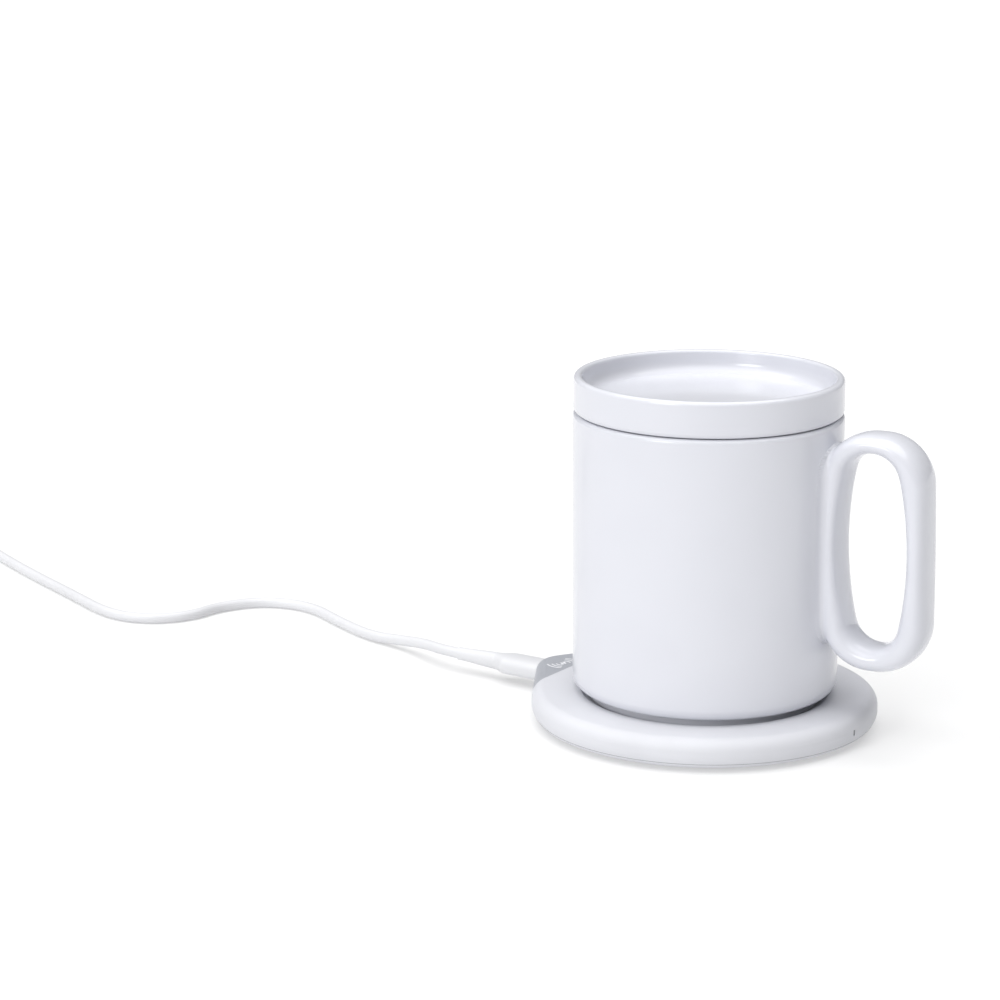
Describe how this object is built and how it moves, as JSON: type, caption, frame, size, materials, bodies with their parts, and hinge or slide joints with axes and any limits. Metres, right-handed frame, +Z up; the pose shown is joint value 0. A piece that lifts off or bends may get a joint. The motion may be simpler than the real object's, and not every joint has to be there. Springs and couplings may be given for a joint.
{
  "type": "electric mug warmer",
  "caption": "Flat round warming pad with a pointed corner, a USB lead, a straight white ceramic mug with a loop handle, and its dished lid.",
  "frame": {"origin": "middle of the pad's round body on the table, in the underside of its anti-slip mat", "axes": "+Z up; -X from the middle towards the pad's pointed corner, where the lead plugs in; the mug's handle points close to +X"},
  "size_m": [0.4475, 0.1098, 0.1058],
  "materials": {
    "case_plastic": "satin white moulding",
    "inlay_plastic": "satin silver-grey moulding",
    "mat_rubber": "matt grey silicone",
    "screw_steel": "zinc plated",
    "carrier_plastic": "matt black moulding",
    "ferrite": "matt sintered",
    "winding": "enamelled copper wire",
    "sensor_bead": "dipped bead",
    "board": "green solder resist",
    "chip_plastic": "matt black epoxy",
    "capacitor_ceramic": "fired",
    "led_plastic": "clear resin over white",
    "ribbon_plastic": "amber film",
    "light_pipe_plastic": "smoked clear",
    "connector_steel": "nickel plated",
    "connector_plastic": "matt black moulding",
    "lead_plastic": "smooth white sheath",
    "tie_plastic": "soft white strap",
    "glaze": "glossy white glaze",
    "disc_steel": "satin stainless",
    "contact_brass": "gold plated"
  },
  "bodies": {
    "pad": {"top_shell": "case_plastic", "bottom_shell": "case_plastic", "corner_inlay": "inlay_plastic", "anti_slip_mat": "mat_rubber", "case_screws": "screw_steel", "coil_carrier": "carrier_plastic", "ferrite_sheet": "ferrite", "power_coil": "winding", "coil_leads": "winding", "temperature_sensor": "sensor_bead", "circuit_board": "board", "control_chip": "chip_plastic", "power_inductor": "ferrite", "capacitors": "capacitor_ceramic", "indicator_led": "led_plastic", "led_board": "board", "led_ribbon": "ribbon_plastic", "light_pipe": "light_pipe_plastic", "usb_port_shell": "connector_steel", "usb_port_tongue": "connector_plastic", "plug_nose": "connector_steel", "plug_housing": "lead_plastic", "plug_strain_relief": "lead_plastic", "cord_run": "lead_plastic", "cord_coil": "lead_plastic", "cord_tail": "lead_plastic", "coil_tie": "tie_plastic", "usb_a_strain_relief": "lead_plastic", "usb_a_housing": "lead_plastic", "usb_a_shell": "connector_steel", "usb_a_tongue": "connector_plastic", "usb_a_contacts": "contact_brass"},
    "mug": {"mug_body": "glaze", "mug_handle": "glaze", "heating_disc": "disc_steel"},
    "lid": {"lid": "glaze"}
  },
  "joints": [
    {"name": "mug_lift", "type": "slide", "parent": "pad", "child": "mug", "axis": [0, 0, 1], "range_m": [0, 0.032]},
    {"name": "lid_lift", "type": "slide", "parent": "mug", "child": "lid", "axis": [0, 0, 1], "range_m": [0, 0.0245]}
  ]
}
